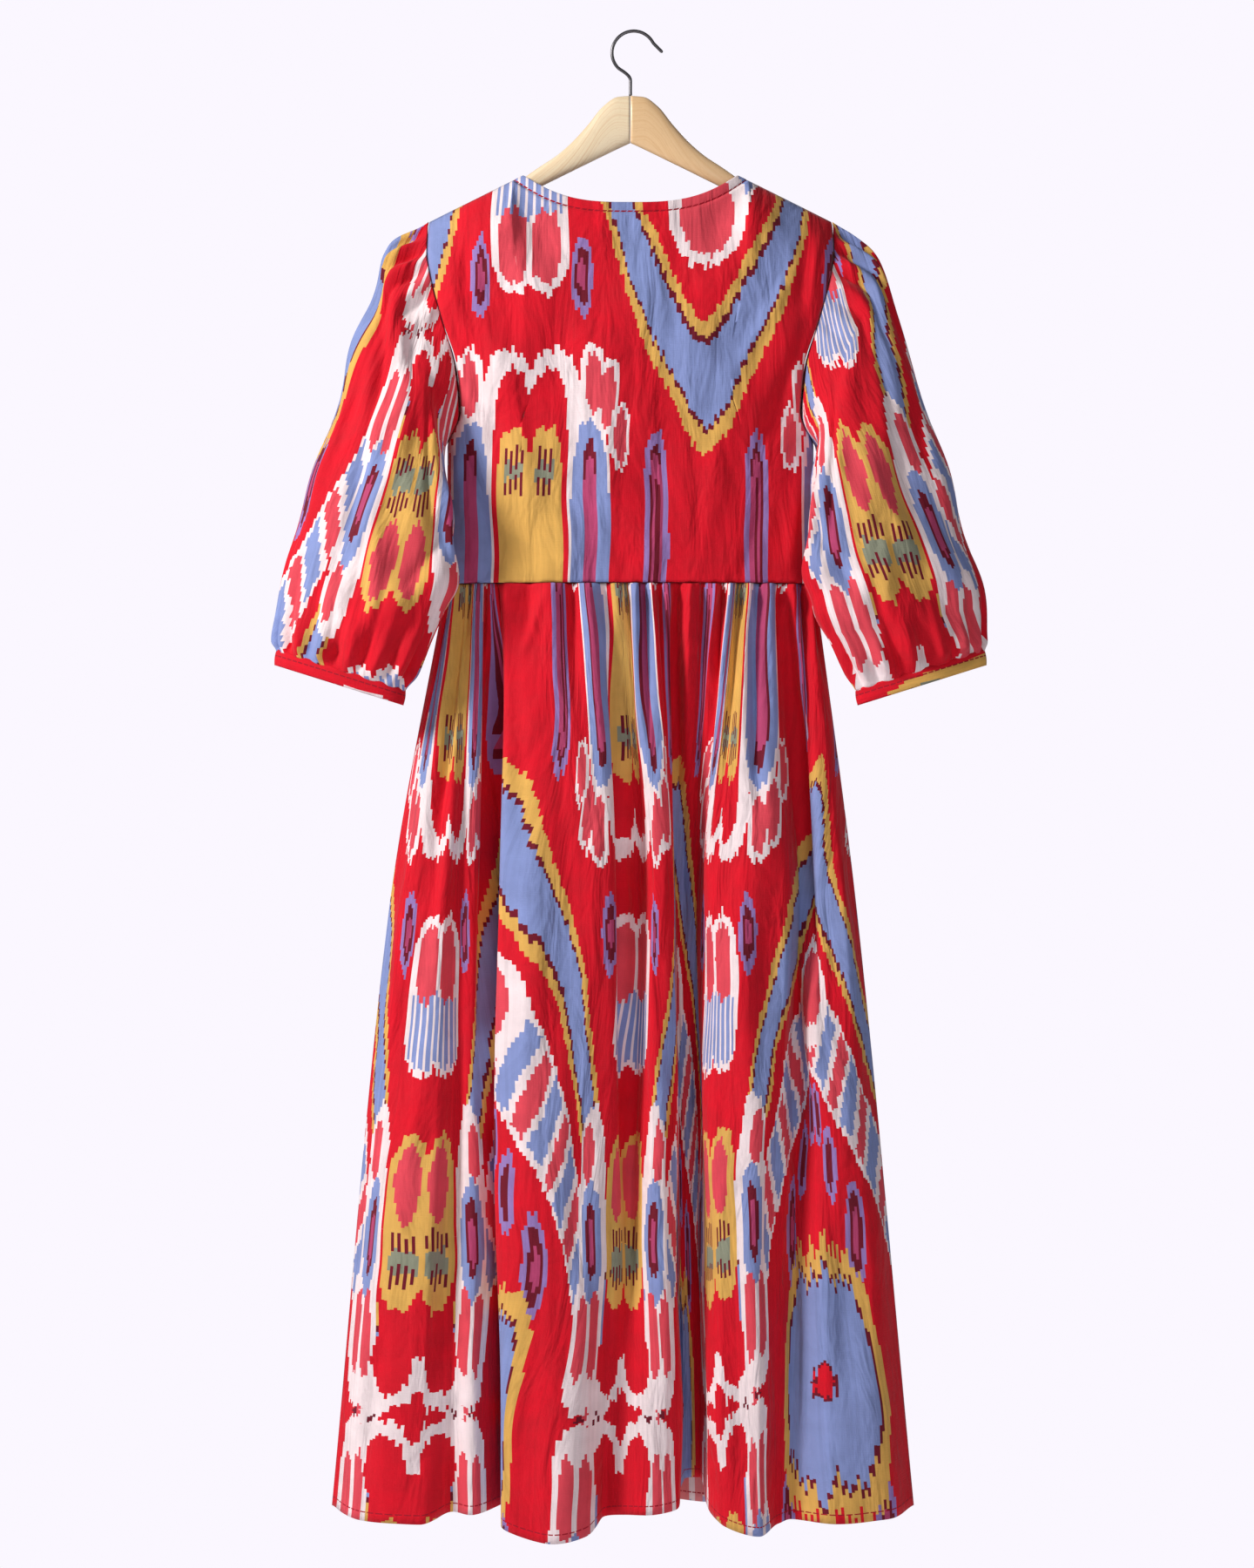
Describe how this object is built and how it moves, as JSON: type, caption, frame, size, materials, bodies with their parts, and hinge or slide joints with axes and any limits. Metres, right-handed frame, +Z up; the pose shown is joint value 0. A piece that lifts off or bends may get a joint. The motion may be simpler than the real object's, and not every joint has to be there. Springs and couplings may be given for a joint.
{
  "type": "cotton dress on a wooden hanger",
  "caption": "Midi dress in ikat printed cotton with gathered skirt and three quarter sleeves, seen from its back, hung on a wooden wishbone hanger with a wire hook.",
  "frame": {"origin": "inside top of the hook, where the rail touches the wire", "axes": "+Z up, +X to the right of someone who looks at the back of the dress, +Y from the dress's back to its front"},
  "size_m": [0.6528, 0.1468, 1.3748],
  "materials": {
    "print_bodice": "matt woven cotton, printed with a traditional ikat in red, coral, blue, ochre and white",
    "print_skirt": "matt woven cotton, printed with a traditional ikat in red, coral, blue, ochre and white",
    "print_sleeve": "matt woven cotton, printed with a traditional ikat in red, coral, blue, ochre and white",
    "print_band": "matt woven cotton, printed with a traditional ikat in red, coral, blue, ochre and white",
    "hanger_wood": "pale beech under clear satin lacquer",
    "hook_steel": "dark drawn steel wire"
  },
  "bodies": {
    "root": {"bodice_back": "print_bodice", "bodice_front": "print_bodice", "skirt_back": "print_skirt", "skirt_front": "print_skirt", "sleeve_left": "print_sleeve", "sleeve_right": "print_sleeve", "cuff_left": "print_band", "cuff_right": "print_band", "neck_binding": "print_band", "hanger_arm_left": "hanger_wood", "hanger_arm_right": "hanger_wood", "hanger_hook": "hook_steel"}
  },
  "joints": []
}
